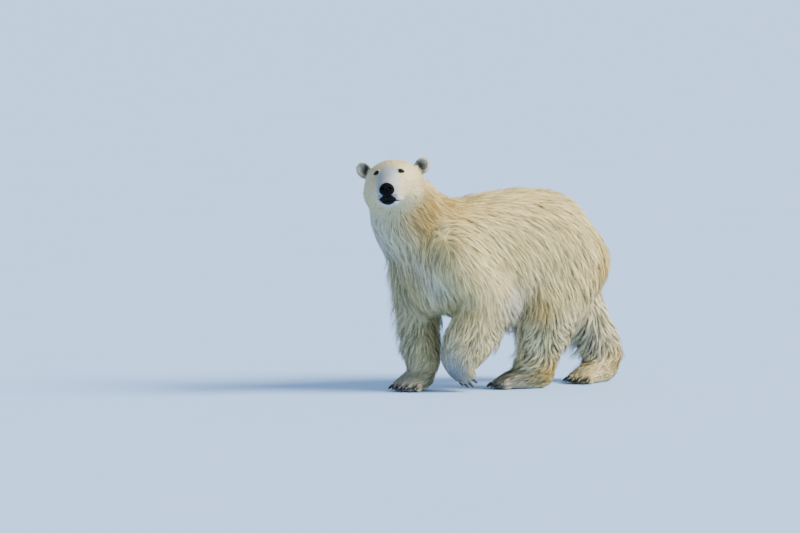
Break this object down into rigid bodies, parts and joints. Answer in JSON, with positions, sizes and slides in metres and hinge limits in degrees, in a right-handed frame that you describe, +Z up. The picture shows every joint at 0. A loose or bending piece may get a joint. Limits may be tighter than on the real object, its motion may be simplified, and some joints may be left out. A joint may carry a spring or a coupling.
{
  "type": "polar bear",
  "caption": "Life-size walking polar bear, head turned to its left towards the viewer, left forepaw lifted and three feet planted.",
  "frame": {"origin": "middle of the bounding box at the level of the soles of the feet", "axes": "the bear faces -Y, its own left side is +X, up is +Z; its head is turned about 54 degrees to its left"},
  "size_m": [0.6904, 1.852, 1.3621],
  "materials": {
    "coat": "long cream-white fur",
    "nose_skin": "black moist leather skin",
    "eye": "dark brown wet eye",
    "claw": "dark horn"
  },
  "bodies": {
    "root": {"claw_fore_left_1": "claw", "claw_fore_left_2": "claw", "claw_fore_left_3": "claw", "claw_fore_left_4": "claw", "claw_fore_left_5": "claw", "claw_fore_right_1": "claw", "claw_fore_right_2": "claw", "claw_fore_right_3": "claw", "claw_fore_right_4": "claw", "claw_fore_right_5": "claw", "claw_hind_left_1": "claw", "claw_hind_left_2": "claw", "claw_hind_left_3": "claw", "claw_hind_left_4": "claw", "claw_hind_left_5": "claw", "claw_hind_right_1": "claw", "claw_hind_right_2": "claw", "claw_hind_right_3": "claw", "claw_hind_right_4": "claw", "claw_hind_right_5": "claw", "ear_left": "coat", "ear_right": "coat", "eye_left": "eye", "eye_right": "eye", "fore_left_forearm": "coat", "fore_left_paw": "coat", "fore_left_upper_arm": "coat", "fore_right_forearm": "coat", "fore_right_paw": "coat", "fore_right_upper_arm": "coat", "head": "coat", "hind_left_foot": "coat", "hind_left_shank": "coat", "hind_left_thigh": "coat", "hind_right_foot": "coat", "hind_right_shank": "coat", "hind_right_thigh": "coat", "neck": "coat", "nose": "nose_skin", "tail": "coat", "trunk": "coat"}
  },
  "joints": []
}
